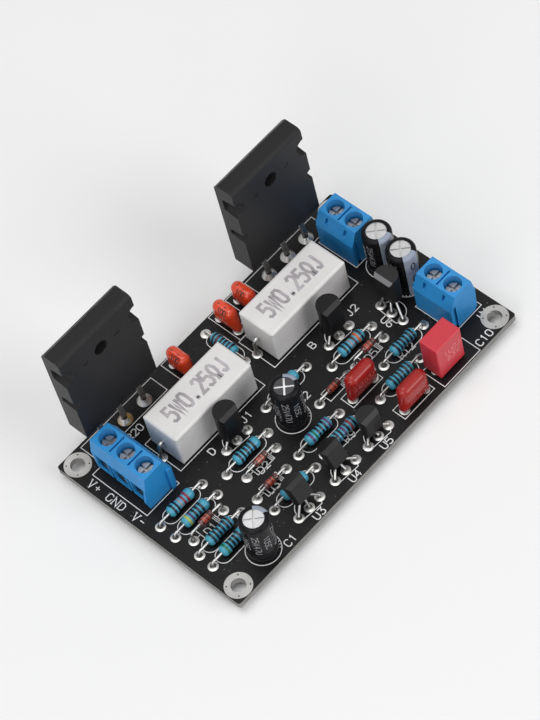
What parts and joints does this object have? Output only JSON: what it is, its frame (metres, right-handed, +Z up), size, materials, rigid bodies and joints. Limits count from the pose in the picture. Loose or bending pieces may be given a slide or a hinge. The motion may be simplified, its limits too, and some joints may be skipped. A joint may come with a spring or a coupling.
{
  "type": "audio amplifier board",
  "caption": "Rectangular audio amplifier circuit board with tall power transistors along one edge, ceramic resistors and blue screw terminals that clamp wires.",
  "frame": {"origin": "centre of the four mounting holes, on the underside of the board", "axes": "+X along the board from the power terminal to the output and input terminals, +Y from the front edge to the power transistors, +Z up"},
  "size_m": [0.082, 0.0503, 0.0373],
  "materials": {
    "board": "satin solder-resist coat",
    "solder": "bright, slightly rough",
    "contact": "tin plated",
    "housing": "moulded, satin",
    "epoxy": "moulded, fine grain",
    "leadframe": "tin-plated copper",
    "ceramic": "unglazed, white",
    "film_body": "lacquered",
    "diode_glass": "orange glass",
    "sleeve": "shrink sleeve",
    "can": "drawn",
    "seal": "matt",
    "orange_coat": "dipped",
    "red_coat": "dipped",
    "box_case": "moulded, satin",
    "lead": "tinned wire",
    "guard": "zinc plated",
    "screw": "zinc plated"
  },
  "bodies": {
    "board": {"circuit_board": "board", "solder_joints": "solder", "terminal_contacts": "contact", "power_terminal_housing": "housing", "output_terminal_housing": "housing", "input_terminal_housing": "housing", "left_power_transistor_case": "epoxy", "right_power_transistor_case": "epoxy", "left_power_transistor_frame": "leadframe", "right_power_transistor_frame": "leadframe", "left_ceramic_resistor": "ceramic", "right_ceramic_resistor": "ceramic", "ceramic_resistor_leads": "lead", "film_resistor_1": "film_body", "film_resistor_2": "film_body", "film_resistor_3": "film_body", "film_resistor_4": "film_body", "film_resistor_5": "film_body", "film_resistor_6": "film_body", "film_resistor_7": "film_body", "film_resistor_8": "film_body", "film_resistor_9": "film_body", "film_resistor_10": "film_body", "film_resistor_11": "film_body", "film_resistor_12": "film_body", "film_resistor_13": "film_body", "film_resistor_leads": "lead", "diodes": "diode_glass", "diode_leads": "lead", "driver_transistor_1": "epoxy", "driver_transistor_2": "epoxy", "driver_transistor_3": "epoxy", "signal_transistor_1": "epoxy", "signal_transistor_2": "epoxy", "signal_transistor_3": "epoxy", "small_transistor_leads": "lead", "capacitor_sleeve_1": "sleeve", "capacitor_sleeve_2": "sleeve", "capacitor_sleeve_3": "sleeve", "capacitor_sleeve_4": "sleeve", "capacitor_cans": "can", "capacitor_seals": "seal", "dipped_capacitors": "orange_coat", "film_capacitors": "red_coat", "box_capacitor": "box_case", "capacitor_leads": "lead"},
    "power_clamp_1": {"power_wire_guard_1": "guard"},
    "power_clamp_screw_1": {"power_screw_1": "screw"},
    "power_clamp_2": {"power_wire_guard_2": "guard"},
    "power_clamp_screw_2": {"power_screw_2": "screw"},
    "power_clamp_3": {"power_wire_guard_3": "guard"},
    "power_clamp_screw_3": {"power_screw_3": "screw"},
    "output_clamp_1": {"output_wire_guard_1": "guard"},
    "output_clamp_screw_1": {"output_screw_1": "screw"},
    "output_clamp_2": {"output_wire_guard_2": "guard"},
    "output_clamp_screw_2": {"output_screw_2": "screw"},
    "input_clamp_1": {"input_wire_guard_1": "guard"},
    "input_clamp_screw_1": {"input_screw_1": "screw"},
    "input_clamp_2": {"input_wire_guard_2": "guard"},
    "input_clamp_screw_2": {"input_screw_2": "screw"}
  },
  "joints": [
    {"name": "power_clamp_1_slide", "type": "slide", "parent": "board", "child": "power_clamp_1", "axis": [0, 0, 1], "range_m": [-0.0019, 0]},
    {"name": "power_clamp_1_turn", "type": "hinge", "parent": "power_clamp_1", "child": "power_clamp_screw_1", "pos_m": [-0.0328, 0.0057, 0.0102], "axis": [0, 0, 1], "range_deg": [-1368, 0]},
    {"name": "power_clamp_2_slide", "type": "slide", "parent": "board", "child": "power_clamp_2", "axis": [0, 0, 1], "range_m": [-0.0019, 0]},
    {"name": "power_clamp_2_turn", "type": "hinge", "parent": "power_clamp_2", "child": "power_clamp_screw_2", "pos_m": [-0.0328, 0.0107, 0.0102], "axis": [0, 0, 1], "range_deg": [-1368, 0]},
    {"name": "power_clamp_3_slide", "type": "slide", "parent": "board", "child": "power_clamp_3", "axis": [0, 0, 1], "range_m": [-0.0019, 0]},
    {"name": "power_clamp_3_turn", "type": "hinge", "parent": "power_clamp_3", "child": "power_clamp_screw_3", "pos_m": [-0.0328, 0.0157, 0.0102], "axis": [0, 0, 1], "range_deg": [-1368, 0]},
    {"name": "output_clamp_1_slide", "type": "slide", "parent": "board", "child": "output_clamp_1", "axis": [0, 0, 1], "range_m": [-0.0019, 0]},
    {"name": "output_clamp_1_turn", "type": "hinge", "parent": "output_clamp_1", "child": "output_clamp_screw_1", "pos_m": [0.0346, 0.016, 0.0102], "axis": [0, 0, 1], "range_deg": [-1368, 0]},
    {"name": "output_clamp_2_slide", "type": "slide", "parent": "board", "child": "output_clamp_2", "axis": [0, 0, 1], "range_m": [-0.0019, 0]},
    {"name": "output_clamp_2_turn", "type": "hinge", "parent": "output_clamp_2", "child": "output_clamp_screw_2", "pos_m": [0.0346, 0.011, 0.0102], "axis": [0, 0, 1], "range_deg": [-1368, 0]},
    {"name": "input_clamp_1_slide", "type": "slide", "parent": "board", "child": "input_clamp_1", "axis": [0, 0, 1], "range_m": [-0.0019, 0]},
    {"name": "input_clamp_1_turn", "type": "hinge", "parent": "input_clamp_1", "child": "input_clamp_screw_1", "pos_m": [0.0346, -0.01025, 0.0102], "axis": [0, 0, 1], "range_deg": [-1368, 0]},
    {"name": "input_clamp_2_slide", "type": "slide", "parent": "board", "child": "input_clamp_2", "axis": [0, 0, 1], "range_m": [-0.0019, 0]},
    {"name": "input_clamp_2_turn", "type": "hinge", "parent": "input_clamp_2", "child": "input_clamp_screw_2", "pos_m": [0.0346, -0.01525, 0.0102], "axis": [0, 0, 1], "range_deg": [-1368, 0]}
  ],
  "couplings": [
    {"joint": "power_clamp_1_turn", "follows": "power_clamp_1_slide", "rad_per_m": 12566},
    {"joint": "power_clamp_2_turn", "follows": "power_clamp_2_slide", "rad_per_m": 12566},
    {"joint": "power_clamp_3_turn", "follows": "power_clamp_3_slide", "rad_per_m": 12566},
    {"joint": "output_clamp_1_turn", "follows": "output_clamp_1_slide", "rad_per_m": 12566},
    {"joint": "output_clamp_2_turn", "follows": "output_clamp_2_slide", "rad_per_m": 12566},
    {"joint": "input_clamp_1_turn", "follows": "input_clamp_1_slide", "rad_per_m": 12566},
    {"joint": "input_clamp_2_turn", "follows": "input_clamp_2_slide", "rad_per_m": 12566}
  ]
}
